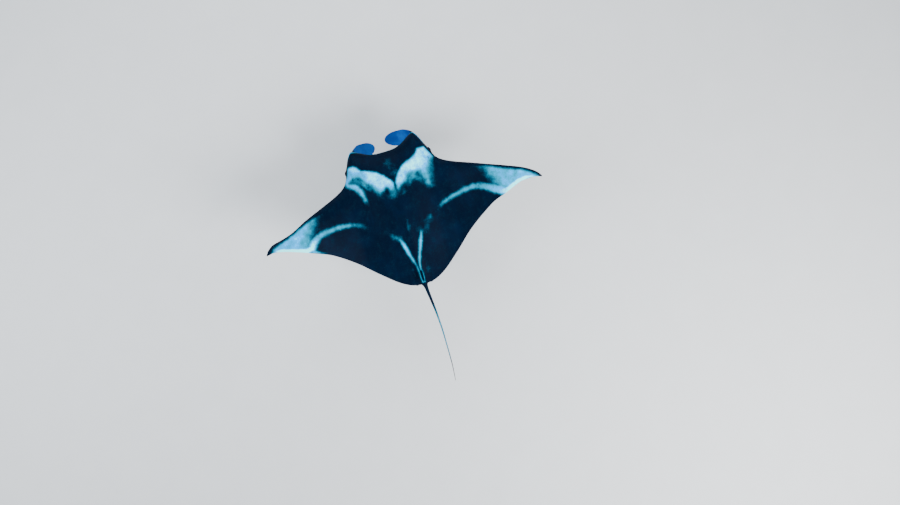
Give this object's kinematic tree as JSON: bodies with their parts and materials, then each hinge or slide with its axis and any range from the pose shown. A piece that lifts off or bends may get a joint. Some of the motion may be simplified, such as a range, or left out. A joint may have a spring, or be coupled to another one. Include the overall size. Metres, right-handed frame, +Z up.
{
  "type": "reef manta ray model",
  "caption": "Life-size still model of a reef manta ray gliding with its head fins unrolled, on a flat base with upright rods.",
  "frame": {"origin": "on the floor, under the middle of the model's outline from above", "axes": "the ray faces -Y, its left wing points along +X, and +Z is up"},
  "size_m": [3.1, 2.8572, 1.0323],
  "materials": {
    "skin": "wet ray skin, satin: navy black back with white shoulder patches, pale belly",
    "eye": "polished dark glass eye",
    "stand_base": "satin dark lacquer over board",
    "stand_steel": "brushed"
  },
  "bodies": {
    "root": {"head": "skin", "trunk": "skin", "pectoral_fin_left": "skin", "pectoral_fin_right": "skin", "pectoral_tip_left": "skin", "pectoral_tip_right": "skin", "cephalic_fin_left": "skin", "cephalic_fin_right": "skin", "pelvic_fin_left": "skin", "pelvic_fin_right": "skin", "dorsal_fin": "skin", "tail_base": "skin", "tail_mid": "skin", "tail_tip": "skin", "eye_left": "eye", "eye_right": "eye", "stand_base": "stand_base", "stand_rod_front": "stand_steel", "stand_rod_rear": "stand_steel", "stand_flange_front": "stand_steel", "stand_flange_rear": "stand_steel"}
  },
  "joints": []
}
